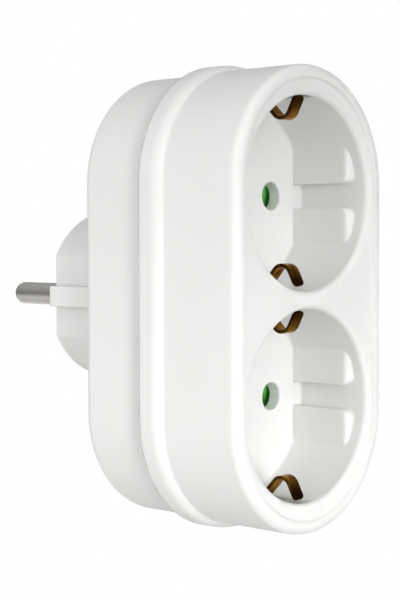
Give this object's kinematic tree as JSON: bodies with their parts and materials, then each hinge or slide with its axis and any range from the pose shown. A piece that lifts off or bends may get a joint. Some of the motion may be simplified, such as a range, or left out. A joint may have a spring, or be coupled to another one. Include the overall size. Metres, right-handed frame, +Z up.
{
  "type": "multi socket adapter",
  "caption": "Upright rounded adapter with a round earthed plug at the rear and shuttered earthed sockets stacked on its front.",
  "frame": {"origin": "middle of the plug's face, between the two pins", "axes": "+Y along the plug's pins, away from the sockets; +X to the right seen from the front; +Z up, along the row of sockets"},
  "size_m": [0.049, 0.0768, 0.0952],
  "materials": {
    "white_housing": "glossy white moulded plastic",
    "carrier_plastic": "pale heat-resistant moulded plastic",
    "shutter_plastic": "green moulded plastic",
    "spring_wire": "drawn steel wire",
    "plated_pins": "nickel-plated brass",
    "contact_brass": "plain brass strip",
    "earth_bronze": "bronze spring strip",
    "plated_screws": "zinc-plated steel"
  },
  "bodies": {
    "housing": {"front_housing": "white_housing", "rear_housing": "white_housing", "contact_carrier": "carrier_plastic", "upper_shutter_spring": "spring_wire", "lower_shutter_spring": "spring_wire", "line_busbar": "contact_brass", "neutral_busbar": "contact_brass", "line_pin": "plated_pins", "neutral_pin": "plated_pins", "upper_line_receptacle": "contact_brass", "lower_line_receptacle": "contact_brass", "upper_neutral_receptacle": "contact_brass", "lower_neutral_receptacle": "contact_brass", "upper_earth_bracket": "earth_bronze", "lower_earth_bracket": "earth_bronze", "earth_link": "earth_bronze", "upper_plug_earth_contact": "earth_bronze", "lower_plug_earth_contact": "earth_bronze", "earth_rivets": "plated_screws", "housing_screws": "plated_screws"},
    "upper_shutter": {"upper_shutter": "shutter_plastic"},
    "lower_shutter": {"lower_shutter": "shutter_plastic"}
  },
  "joints": [
    {"name": "upper_shutter_slide", "type": "slide", "parent": "housing", "child": "upper_shutter", "axis": [0, 0, 1], "range_m": [0, 0.006], "stiffness_N_per_m": 100, "springref_m": -0.004, "deforming": ["upper_shutter_spring"]},
    {"name": "lower_shutter_slide", "type": "slide", "parent": "housing", "child": "lower_shutter", "axis": [0, 0, 1], "range_m": [0, 0.006], "stiffness_N_per_m": 100, "springref_m": -0.004, "deforming": ["lower_shutter_spring"]}
  ]
}
